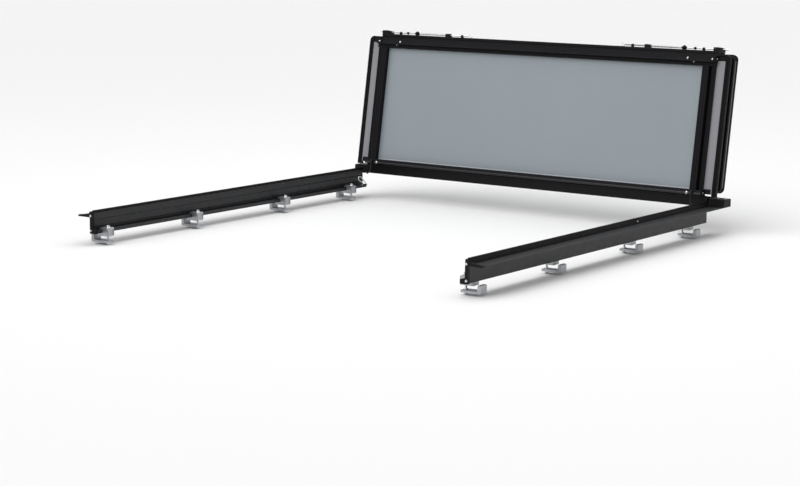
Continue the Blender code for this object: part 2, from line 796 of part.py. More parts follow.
# ---- assembly ----
def build():
    """Builds every piece, in its place with the stack stood upright."""
    base = axis_empty("hinge_line_on_seat", (0.0, HINGE_Y, 0.0))
    header_rail(base)
    lift = axis_empty("lift_axis", (0.0, 0.0, PIVOT_HEIGHT), base, -LEAN)
    spacer_axis = axis_empty("spacer_axis", (0.0, 0.0, FRONT_LENGTH), lift)
    pair_axis = axis_empty("pair_axis", (0.0, SPACER_PITCH, 0.0), spacer_axis)
    rod_line = (0.0, SPACER_PITCH / 2, ROD_HEIGHT)
    front_panel(lift)
    hinge_spacer(spacer_axis)
    folded_pair(pair_axis)
    for side in (-1, 1):
        side_rail(side, base)
        rail_seal(side, base)
        rail_end_cap(side, base)
        corner_bracket(side, base)
        hook_axis = axis_empty(
            mirror_name("hook_axis", side), (side * HOOK_X, 0.0, HOOK_Z), lift
        )
        stay_hook(side, hook_axis)
        rod_support("latch_guide", side, GUIDE_X - 0.011, GUIDE_X + 0.011, 0.018, spacer_axis)
        rod_support("spacer_end_cap", side, 0.762, 0.7895, 0.048, spacer_axis)
        rod_axis = axis_empty(mirror_name("rod_axis", side), rod_line, spacer_axis)
        latch_rod(side, rod_axis)
        for index, place in enumerate(CLAMP_PLACES, start=1):
            clamp_body(side, index, place, base)
            jaw_name = "%s_%d" % (mirror_name("jaw_axis", side), index)
            jaw_axis = axis_empty(jaw_name, (side * BOLT_X, place, 0.0), base)
            clamp_jaw(side, index, jaw_axis)
            clamp_bolt(side, index, jaw_axis)


build()
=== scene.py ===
"""Looks of the folding tonneau cover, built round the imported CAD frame.

Lengths are metres in the row frame. Pieces of the folded stack are drawn in the stack's own frame:
x is lateral, y runs through the stack towards the cab and z runs up along the panels, with the
header hinge at its origin. STACK turns that frame into the row frame. Depth d below a panel's top
skin is turned into the stack's y by the panel's surface and side.
"""

import json
import math

import bmesh
import bpy
from mathutils import Matrix, Vector


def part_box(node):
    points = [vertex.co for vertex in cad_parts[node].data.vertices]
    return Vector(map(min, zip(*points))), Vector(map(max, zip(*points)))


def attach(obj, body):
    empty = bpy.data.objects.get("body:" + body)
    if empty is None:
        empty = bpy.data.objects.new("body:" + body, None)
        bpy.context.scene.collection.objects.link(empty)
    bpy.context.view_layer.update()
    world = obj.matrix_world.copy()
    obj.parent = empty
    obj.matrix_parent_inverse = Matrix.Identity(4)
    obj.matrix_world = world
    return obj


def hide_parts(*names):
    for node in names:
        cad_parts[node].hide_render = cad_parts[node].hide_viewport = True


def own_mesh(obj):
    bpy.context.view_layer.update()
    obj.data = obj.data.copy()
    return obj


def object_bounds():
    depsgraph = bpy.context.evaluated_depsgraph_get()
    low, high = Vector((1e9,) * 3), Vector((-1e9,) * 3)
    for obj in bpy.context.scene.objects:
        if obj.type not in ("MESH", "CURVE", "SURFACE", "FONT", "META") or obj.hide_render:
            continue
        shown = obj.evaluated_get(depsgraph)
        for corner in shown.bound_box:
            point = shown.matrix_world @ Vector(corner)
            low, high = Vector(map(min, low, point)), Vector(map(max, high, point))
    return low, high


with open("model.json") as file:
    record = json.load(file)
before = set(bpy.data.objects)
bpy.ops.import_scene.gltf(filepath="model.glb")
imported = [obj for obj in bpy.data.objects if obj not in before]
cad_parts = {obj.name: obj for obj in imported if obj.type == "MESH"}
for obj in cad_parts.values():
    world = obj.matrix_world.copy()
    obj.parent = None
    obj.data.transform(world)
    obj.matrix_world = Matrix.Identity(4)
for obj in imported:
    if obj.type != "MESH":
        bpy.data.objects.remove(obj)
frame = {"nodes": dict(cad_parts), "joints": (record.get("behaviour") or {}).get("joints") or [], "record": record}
cad_low, cad_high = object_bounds()
NODES = frame["nodes"]
JOINTS = {joint["name"]: joint for joint in frame["joints"]}
SIDES = ((-1, "left"), (1, "right"))
WORLD = Matrix.Identity(4)

# ---- places read from the frame ----
HEADER_HINGE = Vector(JOINTS["stack_lift"]["pos_m"])
WIDE_FRONT = Vector(JOINTS["wide_hinge_front"]["pos_m"])
WIDE_REAR = Vector(JOINTS["wide_hinge_rear"]["pos_m"])
LEAN = math.atan2(WIDE_FRONT.y - HEADER_HINGE.y, WIDE_FRONT.z - HEADER_HINGE.z)
STACK = Matrix.Translation(HEADER_HINGE) @ Matrix.Rotation(-LEAN, 4, "X")
FRONT_LENGTH = (WIDE_FRONT - HEADER_HINGE).length
SPACER_PITCH = (WIDE_REAR - WIDE_FRONT).length


def local_box(name, place=STACK):
    """Lowest and highest corner of a CAD node in the stack's frame."""
    back = place.inverted()
    points = [back @ vertex.co for vertex in NODES[name].data.vertices]
    low = Vector([min(p[i] for p in points) for i in range(3)])
    high = Vector([max(p[i] for p in points) for i in range(3)])
    return low, high


class Panel:
    """One of the three panels: where its skin lies and which way its underside faces."""

    def __init__(self, name, body, under):
        self.name = name
        self.body = body
        self.under = under
        self.low, self.high = local_box(name + "_panel_skin")
        self.surface = self.high.y if under < 0 else self.low.y

    def depth(self, d):
        """The stack's y at that depth below the top skin."""
        return self.surface + self.under * d

    def paint(self):
        """The name of the panel's skin material."""
        return self.name + "_skin"


FRONT = Panel("front", "front_panel", -1)
MIDDLE = Panel("middle", "folded_pair", 1)
REAR = Panel("rear", "folded_pair", -1)
CORE = FRONT.high.y - FRONT.low.y
TRIM_LOW, TRIM_HIGH = local_box("front_panel_trim_right")
HEADER_BAR_LOW = local_box("front_panel_header_bar")[0]
HINGE_BAR_HIGH = local_box("front_panel_hinge_bar")[1]
CHANNEL_LOW, CHANNEL_HIGH = local_box("front_panel_side_bar_right")
BAR_DEPTH = -CHANNEL_LOW.y  # from a panel's top skin to the bars' outer face
TRIM_IN = FRONT.high.x + 0.0003
BAR_END = HINGE_BAR_HIGH.x
SKIN_HALF = FRONT.high.x + 0.0002
OUTER = TRIM_HIGH.x
GRIP = next(mount for mount in frame["record"]["mounts"] if mount["name"] == "rail_grip_right")
WEB_OUT = GRIP["pos_m"][0]
WEB_IN = WEB_OUT - 0.004
FLANGE_TOP = 0.003  # upper face of a rail's seat flange
HEADER_BOX_TOP = 0.030  # upper face of the header rail's box
COLLAR_X = 0.626  # middle of a latch rod's collar


# ---- material nodes ----
def node(tree, kind, **values):
    """A new shader node. Each value sets the input of that name, or else the node's own property."""
    made = tree.nodes.new(kind)
    for key, value in values.items():
        socket = made.inputs.get(key.replace("_", " ").title())
        if socket is None:
            setattr(made, key, value)
        else:
            socket.default_value = value
    return made


def rest_coordinates(tree, stretch=(1.0, 1.0, 1.0)):
    """Coordinates of the rest pose, scaled along each axis."""
    coordinates = node(tree, "ShaderNodeTexCoord")
    mapping = node(tree, "ShaderNodeMapping")
    mapping.inputs["Scale"].default_value = stretch
    tree.links.new(coordinates.outputs["Object"], mapping.inputs["Vector"])
    return mapping.outputs["Vector"]


def noise(tree, vector, scale, detail=3.0, roughness=0.5):
    """A noise texture's grey value."""
    texture = node(tree, "ShaderNodeTexNoise", scale=scale, detail=detail, roughness=roughness)
    tree.links.new(vector, texture.inputs["Vector"])
    return texture.outputs["Fac"]


def remap(tree, value, low, high, to_low, to_high):
    """The value stretched from one range to another."""
    made = node(tree, "ShaderNodeMapRange")
    for name, number in zip(("From Min", "From Max", "To Min", "To Max"), (low, high, to_low, to_high)):
        made.inputs[name].default_value = number
    tree.links.new(value, made.inputs["Value"])
    return made.outputs["Result"]


def mix_colour(tree, factor, first, second):
    """A blend of two colours, each a tuple or a socket."""
    made = node(tree, "ShaderNodeMix")
    made.data_type = "RGBA"
    for socket, value in ((made.inputs[6], first), (made.inputs[7], second)):
        if isinstance(value, tuple):
            socket.default_value = (*value, 1.0)
        else:
            tree.links.new(value, socket)
    tree.links.new(factor, made.inputs[0])
    return made.outputs[2]


def shader_of(name, roughness, metallic=0.0, specular=0.5):
    """A new material and its Principled shader."""
    material = bpy.data.materials.new(name)
    material.use_nodes = True
    shader = material.node_tree.nodes["Principled BSDF"]
    shader.inputs["Roughness"].default_value = roughness
    shader.inputs["Metallic"].default_value = metallic
    shader.inputs["Specular IOR Level"].default_value = specular
    return material, shader


def add_bump(tree, shader, height, strength, distance):
    """Bump from a height value, chained onto any bump that is there."""
    bump = node(tree, "ShaderNodeBump", strength=strength, distance=distance)
    links = shader.inputs["Normal"].links
    if links:
        tree.links.new(links[0].from_socket, bump.inputs["Normal"])
    tree.links.new(height, bump.inputs["Height"])
    tree.links.new(bump.outputs["Normal"], shader.inputs["Normal"])


def surface(
    name,
    colour,
    roughness,
    metallic=0.0,
    specular=0.5,
    variation=0.12,
    mottle=9.0,
    grain=900.0,
    grain_depth=0.00008,
    lines=None,
    wear=0.0,
):
    """A finish: mottled colour, uneven gloss, grain, die lines along one axis and paler edges."""
    material, shader = shader_of(name, roughness, metallic, specular)
    tree = material.node_tree
    plain = rest_coordinates(tree)
    darker = tuple(c * (1 - variation) for c in colour)
    lighter = tuple(min(1.0, c * (1 + variation)) for c in colour)
    blotch = noise(tree, plain, mottle, 5.0, 0.6)
    tint = mix_colour(tree, remap(tree, blotch, 0.3, 0.7, 0.0, 1.0), darker, lighter)
    if wear > 0.0:
        geometry = node(tree, "ShaderNodeNewGeometry")
        edge = remap(tree, geometry.outputs["Pointiness"], 0.505, 0.56, 0.0, wear)
        pale = tuple(min(1.0, c * 2.6 + 0.02) for c in colour)
        tint = mix_colour(tree, edge, tint, pale)
    tree.links.new(tint, shader.inputs["Base Color"])
    smear = noise(tree, plain, mottle * 3.7, 4.0, 0.55)
    gloss = remap(tree, smear, 0.3, 0.7, roughness - 0.05, roughness + 0.05)
    tree.links.new(gloss, shader.inputs["Roughness"])
    if grain_depth > 0.0:
        add_bump(tree, shader, noise(tree, plain, grain, 2.0), 0.6, grain_depth)
    if lines is not None:
        stretch = tuple(1.0 if axis == lines else 60.0 for axis in "XYZ")
        drawn = noise(tree, rest_coordinates(tree, stretch), 14.0, 2.0, 0.7)
        add_bump(tree, shader, drawn, 0.35, 0.00006)
    return material


def skin_paint(panel, under_colour, edge_colour, top_colour):
    """A panel skin: satin underside, its bare edge strips warmer, and a textured black top."""
    material, shader = shader_of(panel.name + "_panel_paint", 0.4, specular=0.35)
    tree = material.node_tree
    plain = rest_coordinates(tree)
    split = node(tree, "ShaderNodeSeparateXYZ")
    tree.links.new(plain, split.inputs["Vector"])
    across = node(tree, "ShaderNodeMath", operation="MULTIPLY")
    across.inputs[1].default_value = math.cos(LEAN)
    tree.links.new(split.outputs["Y"], across.inputs[0])
    depth = node(tree, "ShaderNodeMath", operation="MULTIPLY_ADD")
    depth.inputs[1].default_value = -math.sin(LEAN)
    tree.links.new(split.outputs["Z"], depth.inputs[0])
    tree.links.new(across.outputs[0], depth.inputs[2])
    hinge = HEADER_HINGE.y * math.cos(LEAN) - HEADER_HINGE.z * math.sin(LEAN)
    kind = "LESS_THAN" if panel.under > 0 else "GREATER_THAN"
    is_top = node(tree, "ShaderNodeMath", operation=kind)
    is_top.inputs[1].default_value = hinge + panel.depth(CORE / 2)
    tree.links.new(depth.outputs[0], is_top.inputs[0])
    cloud = remap(tree, noise(tree, plain, 2.2, 4.0, 0.55), 0.3, 0.7, 0.0, 1.0)
    darker = tuple(c * 0.965 for c in under_colour)
    lighter = tuple(c * 1.03 for c in under_colour)
    under = mix_colour(tree, cloud, darker, lighter)
    aside = node(tree, "ShaderNodeMath", operation="ABSOLUTE")
    tree.links.new(split.outputs["X"], aside.inputs[0])
    beyond = node(tree, "ShaderNodeMath", operation="GREATER_THAN")
    beyond.inputs[1].default_value = CHANNEL_HIGH.x
    tree.links.new(aside.outputs[0], beyond.inputs[0])
    under = mix_colour(tree, beyond.outputs[0], under, edge_colour)
    speckle = remap(tree, noise(tree, plain, 420.0, 2.0), 0.35, 0.65, 0.0, 1.0)
    top = mix_colour(tree, speckle, tuple(c * 0.7 for c in top_colour), top_colour)
    tree.links.new(mix_colour(tree, is_top.outputs[0], under, top), shader.inputs["Base Color"])
    smear = remap(tree, noise(tree, plain, 6.0, 5.0, 0.6), 0.3, 0.7, 0.36, 0.46)
    tree.links.new(smear, shader.inputs["Roughness"])
    grit = noise(tree, plain, 700.0, 3.0, 0.6)
    height = node(tree, "ShaderNodeMath", operation="MULTIPLY")
    tree.links.new(grit, height.inputs[0])
    tree.links.new(remap(tree, is_top.outputs[0], 0.0, 1.0, 0.12, 1.0), height.inputs[1])
    add_bump(tree, shader, height.outputs[0], 0.5, 0.0003)
    return material


PANEL_GREY = (0.262, 0.298, 0.322)
STRIP_GREY = (0.235, 0.236, 0.253)
PANEL_BLACK = (0.010, 0.010, 0.011)
SATIN = (0.0045, 0.0046, 0.0056)
RAIL_BLACK = (0.0110, 0.0114, 0.0128)

MATERIALS = {
    "rail": surface("rail_coat", RAIL_BLACK, 0.40, specular=0.30, grain=700.0, lines="Y", wear=0.2),
    "header": surface("header_coat", SATIN, 0.42, specular=0.13, grain=700.0, lines="X", wear=0.15),
    "bar_x": surface("bar_coat_cross", SATIN, 0.36, specular=0.13, lines="X", wear=0.15),
    "bar_z": surface("bar_coat_side", SATIN, 0.36, specular=0.10, lines="Z", wear=0.15),
    "rubber": surface("seal_rubber", (0.0040, 0.0040, 0.0045), 0.5, grain=1400.0, specular=0.12),
    "moulded": surface("moulded_black", (0.0055, 0.0055, 0.0062), 0.48, grain=1500.0, specular=0.14),
    "cast": surface(
        "cast_alloy", (0.42, 0.43, 0.45), 0.42, 0.85, variation=0.2, grain=260.0, grain_depth=0.0002
    ),
    "zinc": surface("bright_zinc", (0.72, 0.73, 0.75), 0.24, 1.0, variation=0.08, grain=500.0),
    "gloss": surface("bar_nose_gloss", (0.005, 0.005, 0.006), 0.26, specular=0.36, lines="X"),
    "black_zinc": surface("black_zinc", (0.010, 0.010, 0.011), 0.36, 0.3, grain=600.0),
    # Pale grey for the skin's lower bead: a painted highlight standing in for light catching the skin's bottom
    # edge.
    "pale": surface("pale_bead", (0.40, 0.42, 0.46), 0.35, variation=0.05, lines="X"),
    "edge": surface("mill_edge", (0.40, 0.42, 0.44), 0.36, 0.5, variation=0.06, lines="Z"),
    "foam": surface("foam_seal", (0.008, 0.008, 0.008), 0.85, grain=520.0, specular=0.1, grain_depth=0.0004),
}
for each in (FRONT, MIDDLE, REAR):
    MATERIALS[each.paint()] = skin_paint(each, PANEL_GREY, STRIP_GREY, PANEL_BLACK)


# ---- mesh helpers ----
def piece_from(name, work, kind, body, place=WORLD, smooth=35.0, bevel=0.0):
    """Turns a bmesh into a piece with its material, slot and body."""
    bmesh.ops.transform(work, matrix=place, verts=work.verts)
    bmesh.ops.recalc_face_normals(work, faces=work.faces)
    mesh = bpy.data.meshes.new(name)
    work.to_mesh(mesh)
    work.free()
    piece = bpy.data.objects.new(name, mesh)
    bpy.context.scene.collection.objects.link(piece)
    mesh.shade_smooth()
    mesh.set_sharp_from_angle(angle=math.radians(smooth))
    mesh.materials.append(MATERIALS[kind])
    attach(piece, body)
    if bevel > 0.0:
        soften(piece, bevel)
    return piece


def soften(piece, width, segments=2, angle=32.0):
    """Rounds the hard edges of a piece, so that they catch light."""
    bevel = piece.modifiers.new("soft_edges", "BEVEL")
    bevel.width = width
    bevel.segments = segments
    bevel.limit_method = "ANGLE"
    bevel.angle_limit = math.radians(angle)
    return piece


def refinish(names, kind, bevel=0.0, smooth=30.0):
    """Gives CAD nodes a detailed material and softly rounded edges."""
    for name in names:
        item = NODES[name]
        item.data.materials.clear()
        item.data.materials.append(MATERIALS[kind])
        item.data.shade_smooth()
        item.data.set_sharp_from_angle(angle=math.radians(smooth))
        if bevel > 0.0:
            soften(item, bevel)


def arc(centre, radius, start, end, count):
    """Points on an arc, in degrees, both ends included."""
    points = []
    for i in range(count + 1):
        angle = math.radians(start + (end - start) * i / count)
        points.append((centre[0] + radius * math.cos(angle), centre[1] + radius * math.sin(angle)))
    return points


def loft(work, rings, closed=False):
    """Joins rings of points into a skin, its ends capped unless it closes on itself."""
    made = [[work.verts.new(p) for p in ring] for ring in rings]
    count = len(made[0])
    pairs = list(zip(made, made[1:]))
    if closed:
        pairs.append((made[-1], made[0]))
    for first, second in pairs:
        for i in range(count):
            j = (i + 1) % count
            work.faces.new((first[i], first[j], second[j], second[i]))
    if not closed:
        work.faces.new(reversed(made[0]))
        work.faces.new(made[-1])
    return work


def extrude(work, outline, along, start, end):
    """Adds an outline drawn along an axis. Its pairs are the two other axes, in order."""
    rings = []
    for distance in (start, end):
        if along == "X":
            rings.append([Vector((distance, a, b)) for a, b in outline])
        elif along == "Y":
            rings.append([Vector((a, distance, b)) for a, b in outline])
        else:
            rings.append([Vector((a, b, distance)) for a, b in outline])
    return loft(work, rings)


def turned(profile, segments=24, lobes=0, lobe_rings=(), lobe_depth=0.0):
    """A solid turned about z from radius and height pairs. The rings that are named can be lobed."""
    rings = []
    for index, (radius, height) in enumerate(profile):
        ring = []
        for i in range(segments):
            angle = 2 * math.pi * i / segments
            swell = 1 + lobe_depth * math.cos(lobes * angle) if index in lobe_rings else 1
            r = radius * swell
            ring.append(Vector((r * math.cos(angle), r * math.sin(angle), height)))
        rings.append(ring)
    return loft(bmesh.new(), rings)


def tube(path, radius, segments=12, closed=False):
    """A round rod along a path of points."""
    rings = []
    count = len(path)
    side = None
    for index, point in enumerate(path):
        if closed:
            along = path[(index + 1) % count] - path[index - 1]
        else:
            along = path[min(index + 1, count - 1)] - path[max(index - 1, 0)]
        along.normalize()
        if side is None:
            side = along.orthogonal().normalized()
        side = (side - along * side.dot(along)).normalized()
        other = along.cross(side)
        ring = []
        for i in range(segments):
            angle = 2 * math.pi * i / segments
            ring.append(point + side * (radius * math.cos(angle)) + other * (radius * math.sin(angle)))
        rings.append(ring)
    return loft(bmesh.new(), rings, closed)


def smooth_path(points, steps=6):
    """A smooth curve through points, each span in that many steps."""
    spans = [points[0]] + list(points) + [points[-1]]
    path = []
    for i in range(1, len(spans) - 2):
        a, b, c, d = (Vector(p) for p in spans[i - 1 : i + 3])
        for step in range(steps):
            t = step / steps
            path.append(
                0.5
                * (
                    2 * b
                    + (c - a) * t
                    + (2 * a - 5 * b + 4 * c - d) * t * t
                    + (3 * b - a - 3 * c + d) * t * t * t
                )
            )
    path.append(Vector(points[-1]))
    return path


def facing(place, normal, origin):
    """The matrix that puts a turned piece at a point with its axis along a direction."""
    turn = Vector(normal).normalized().to_track_quat("Z", "Y").to_matrix().to_4x4()
    return place @ Matrix.Translation(origin) @ turn


def sweep(work, path, profiles):
    """A profile for each point of a flat path of x and z, drawn outwards and then along y."""
    rings = []
    for index, ((x, z), profile) in enumerate(zip(path, profiles)):
        here = Vector((x, z))
        before = (here - Vector(path[index - 1])).normalized() if index else None
        after = None
        if index + 1 < len(path):
            after = (Vector(path[index + 1]) - here).normalized()
        along = ((before or after) + (after or before)).normalized()
        out = Vector((along.y, -along.x))
        rings.append([Vector((x + out.x * a, b, z + out.y * a)) for a, b in profile])
    return loft(work, rings)


def for_side(work, side):
    """The bmesh as drawn on the right, or mirrored in x on the left."""
    if side < 0:
        bmesh.ops.scale(work, vec=(-1.0, 1.0, 1.0), verts=work.verts)
    return work


def rounded_box(low, high, corner, steps=3):
    """The outline of a box with round corners."""
    points = []
    for centre, start in (
        ((high[0] - corner, high[1] - corner), 0.0),
        ((low[0] + corner, high[1] - corner), 90.0),
        ((low[0] + corner, low[1] + corner), 180.0),
        ((high[0] - corner, low[1] + corner), 270.0),
    ):
        points += arc(centre, corner, start, start + 90.0, steps)
    return points


# ---- fasteners ----
def screw(name, body, place, origin, normal, radius=0.0052, kind="zinc"):
    """A pan-head screw with a six-lobed recess, on a thin washer face."""
    r = radius
    profile = [
        (r * 1.25, 0.0),
        (r * 1.25, r * 0.10),
        (r * 1.02, r * 0.14),
        (r, r * 0.36),
        (r * 0.90, r * 0.56),
        (r * 0.70, r * 0.68),
        (r * 0.48, r * 0.72),
        (r * 0.42, r * 0.72),
        (r * 0.34, r * 0.30),
    ]
    work = turned(profile, 36, 6, (7, 8), 0.16)
    return piece_from(name, work, kind, body, facing(place, normal, origin), 28.0)


def washer(name, body, place, origin, normal, radius, bore, thick=0.0012):
    """A flat zinc washer with rounded rims."""
    section = [
        (bore, 0.0),
        (radius - 0.0003, 0.0),
        (radius, thick * 0.3),
        (radius, thick * 0.7),
        (radius - 0.0003, thick),
        (bore, thick),
    ]
    rings = []
    for i in range(32):
        angle = 2 * math.pi * i / 32
        rings.append([Vector((r * math.cos(angle), r * math.sin(angle), h)) for r, h in section])
    work = loft(bmesh.new(), rings, closed=True)
    return piece_from(name, work, "zinc", body, facing(place, normal, origin), 30.0)


# ---- panel skins ----
def panel_skin(panel):
    """The sandwich panel between its edge trims."""
    near, far = sorted((panel.depth(0.0), panel.depth(CORE)))
    work = bmesh.new()
    outline = rounded_box((-SKIN_HALF, near), (SKIN_HALF, far), 0.0006, 2)
    extrude(work, outline, "Z", panel.low.z, panel.high.z)
    name = panel.name + "_skin_sheet"
    sheet = piece_from(name, work, panel.paint(), panel.body, STACK)
    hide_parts(panel.name + "_panel_skin")
    return sheet


# ---- edge trims ----
TRIM_TURN = 0.0205  # radius of a trim's outer corner


def bulb_profile(panel, proud, deep):
    """Section of a rubber edge trim with two bulbs side by side, out from 0 to -width and along y."""
    width = OUTER - TRIM_IN
    half = width / 2
    top = panel.depth(-proud)
    foot = panel.depth(deep)
    sign = panel.under
    bulge = 0.0018
    points = [(-width, foot - sign * bulge), (-width, panel.depth(0.0)), (-width + 0.001, top)]
    points += [(-0.0045, top), (-0.0012, top + sign * 0.0012), (0.0, top + sign * 0.0045)]
    points += [(0.0, foot - sign * 0.0040)]
    for centre in (-half / 2, -half * 1.5):
        for step in range(7):
            angle = math.radians(180.0 * step / 6)
            a = centre + (half / 2 - 0.0002) * math.cos(angle)
            points.append((a, foot - sign * bulge + sign * bulge * math.sin(angle)))
    return points


def edge_trim(panel, side, word, proud, deep, both_ends):
    """A panel's rubber edge. It turns the panel's free corners and returns to the cross bars.

    The returns are no deeper than the skin, so that they clear the rails' seals.
    """
    low = panel.low.z - 0.0098 if both_ends else TRIM_LOW.z
    high = panel.high.z + 0.0198 if both_ends else TRIM_HIGH.z
    reach = BAR_END + 0.0006
    path = []
    taper = OUTER - TRIM_TURN - 0.0030
    if both_ends:
        path += [(reach, low), (taper, low)]
        path += arc((OUTER - TRIM_TURN, low + TRIM_TURN), TRIM_TURN, 270.0, 360.0, 10)
    else:
        path.append((OUTER, low))
    path += arc((OUTER - TRIM_TURN, high - TRIM_TURN), TRIM_TURN, 0.0, 90.0, 10)
    path += [(taper, high), (reach, high)]
    shallow = bulb_profile(panel, proud, CORE - 0.0002)
    full = bulb_profile(panel, proud, deep)
    profiles = [shallow if x <= taper else full for x, z in path]
    work = sweep(bmesh.new(), path, profiles)
    name = "%s_edge_trim_%s" % (panel.name, word)
    return piece_from(name, for_side(work, side), "rubber", panel.body, STACK, 50.0)


# ---- side channels ----
def side_channel(panel, side, word):
    """A panel's side bar: a grooved face, and a flange on the skin with a raised, ribbed edge."""
    node_name = "%s_panel_side_bar_%s" % (panel.name, word)
    low, high = local_box(node_name)
    inner, outer = sorted((abs(low.x), abs(high.x)))
    face_out = inner + 0.027
    base = CORE + 0.0002
    raised = CORE + 0.0085
    r = 0.0016
    points = [(inner, base)]
    points += arc((inner + r, BAR_DEPTH - r), r, 180.0, 90.0, 4)
    for groove in (0.30, 0.70):
        x = inner + (face_out - inner) * groove
        points += [(x - 0.0011, BAR_DEPTH), (x - 0.0006, BAR_DEPTH - 0.0012)]
        points += [(x + 0.0006, BAR_DEPTH - 0.0012), (x + 0.0011, BAR_DEPTH)]
    points += arc((face_out - r, BAR_DEPTH - r), r, 90.0, 0.0, 4)
    points += [(face_out, base + 0.0018), (face_out + 0.0058, base + 0.0018)]
    points += [(face_out + 0.0070, raised - 0.0010), (face_out + 0.0078, raised)]
    for rib in range(3):
        x = face_out + 0.0108 + rib * 0.0038
        points += [(x - 0.0008, raised), (x, raised - 0.0009), (x + 0.0008, raised)]
    points += [(outer - 0.0012, raised), (outer, raised - 0.0014), (outer, base)]
    outline = [(x, panel.depth(d)) for x, d in points]
    work = extrude(bmesh.new(), outline, "Z", low.z, high.z)
    name = "%s_side_channel_%s" % (panel.name, word)
    bar = piece_from(name, for_side(work, side), "bar_z", panel.body, STACK, 24.0)
    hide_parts(node_name)
    return bar


# ---- cross bars ----
def ridges(name, panel, lines, half, kind="bar_x"):
    """Rounded ridges along a cross bar. Each has a depth, a z, a half height and a height proud."""
    work = bmesh.new()
    for depth, z, half_height, proud in lines:
        outline = [(panel.depth(depth - 0.0006), z - half_height)]
        for step in range(9):
            angle = math.radians(-90.0 + 180.0 * step / 8)
            y = panel.depth(depth + proud * math.cos(angle))
            outline.append((y, z + half_height * math.sin(angle)))
        outline.append((panel.depth(depth - 0.0006), z + half_height))
        extrude(work, outline, "X", -half, half)
    return piece_from(name, work, kind, panel.body, STACK, 50.0)


def bar_plug(name, panel, side, low_z, high_z):
    """The moulded plug that closes a cross bar's hollow end, with its rim and a screw."""
    near, far = sorted((panel.depth(CORE + 0.0008), panel.depth(BAR_DEPTH - 0.0004)))
    work = bmesh.new()
    extrude(work, rounded_box((near, low_z), (far, high_z), 0.0022), "X", BAR_END, BAR_END + 0.0016)
    inset = 0.0028
    inner = rounded_box((near + inset, low_z + inset), (far - inset, high_z - inset), 0.0014)
    extrude(work, inner, "X", BAR_END + 0.0014, BAR_END + 0.0026)
    plug = for_side(work, side)
    piece_from(name, plug, "moulded", panel.body, STACK, 30.0, 0.0003)
    middle = ((near + far) / 2, (low_z + high_z) / 2)
    origin = (side * (BAR_END + 0.0024), middle[0], middle[1])
    screw(name + "_screw", panel.body, STACK, origin, (side, 0.0, 0.0), 0.0028)


def corner_plate(name, panel, side, low_z, high_z):
    """A pressed plate over the corner of a panel's frame."""
    low = (CHANNEL_HIGH.x - 0.0240, low_z)
    high = (BAR_END - 0.0015, high_z)
    near, far = sorted((panel.depth(BAR_DEPTH - 0.0004), panel.depth(BAR_DEPTH + 0.0020)))
    work = extrude(bmesh.new(), rounded_box(low, high, 0.0035), "Y", near, far)
    piece_from(name, for_side(work, side), "bar_z", panel.body, STACK, 30.0, 0.0006)


def front_frame():
    """Ridges, plates, plugs and screws on the front panel's bars."""
    refinish(["front_panel_header_bar", "front_panel_hinge_bar"], "bar_x", 0.0005)
    face = BAR_DEPTH
    top = HINGE_BAR_HIGH.z
    ridges(
        "hinge_bar_ridges",
        FRONT,
        [
            (face, FRONT_LENGTH - 0.0075, 0.0016, 0.0012),
            (face, FRONT_LENGTH - 0.0262, 0.0018, 0.0014),
            (face - 0.0100, FRONT_LENGTH - 0.0425, 0.0014, 0.0012),
        ],
        BAR_END - 0.0010,
    )
    ridges(
        "header_bar_nose",
        FRONT,
        [(face, 0.0079, 0.0046, 0.0030)],
        BAR_END - 0.0010,
        "gloss",
    )
    # A dark rubber strip on the hinge bar's recessed lower step: painted shade, standing in for the shadow the
    # upper step casts on it.
    painted_shade_strip = [(face - 0.0100, FRONT_LENGTH - 0.0350, 0.0052, 0.0006)]
    ridges("hinge_bar_gasket", FRONT, painted_shade_strip, BAR_END - 0.004, "rubber")
    # The skin's lower bead is painted pale: a painted highlight for the bright line where light catches the skin's
    # bottom edge.
    painted_highlight_bead = [(CORE + 0.0001, 0.0254, 0.0025, 0.0016)]
    ridges("skin_lower_bead", FRONT, painted_highlight_bead, CHANNEL_LOW.x - 0.001, "pale")
    for side, word in SIDES:
        plate_low = FRONT_LENGTH - 0.0245
        corner_plate("front_top_plate_" + word, FRONT, side, plate_low, FRONT_LENGTH - 0.0090)
        for index, (x, z, size) in enumerate(
            (
                (0.7775, FRONT_LENGTH - 0.0180, 0.0028),
                (0.6720, FRONT_LENGTH - 0.0180, 0.0032),
                (0.6950, FRONT_LENGTH - 0.0295, 0.0024),
            )
        ):
            depth = BAR_DEPTH + (0.0019, 0.0, -0.0098)[index]
            origin = (side * x, FRONT.depth(depth), z)
            title = "hinge_bar_screw_%s_%d" % (word, index + 1)
            screw(title, FRONT.body, STACK, origin, (0.0, -1.0, 0.0), size)
        for index, (x, z, size) in enumerate(((0.7290, 0.0090, 0.0046), (0.7080, 0.0070, 0.0024))):
            origin = (side * x, FRONT.depth(BAR_DEPTH + (0.0 if index else 0.0006)), z)
            title = "header_bar_screw_%s_%d" % (word, index + 1)
            screw(title, FRONT.body, STACK, origin, (0.0, -1.0, 0.0), size)
        work = bmesh.new()
        near, far = sorted((FRONT.depth(CORE - 0.0002), FRONT.depth(CORE + 0.00025)))
        for x_out, low_z, high_z in (
            (TRIM_IN, FRONT_LENGTH - 0.0220, FRONT.high.z - 0.0002),
            (TRIM_IN - 0.0045, FRONT.low.z + 0.0002, 0.0290),
        ):
            outline = rounded_box((CHANNEL_HIGH.x + 0.0004, low_z), (x_out - 0.0002, high_z), 0.0020)
            extrude(work, outline, "Y", near, far)
        title = "front_corner_tapes_" + word
        piece_from(title, for_side(work, side), "moulded", FRONT.body, STACK)
        bar_plug("header_bar_plug_" + word, FRONT, side, HEADER_BAR_LOW.z + 0.010, 0.0215)
        bar_plug("hinge_bar_plug_" + word, FRONT, side, FRONT_LENGTH - 0.0280, top - 0.0090)


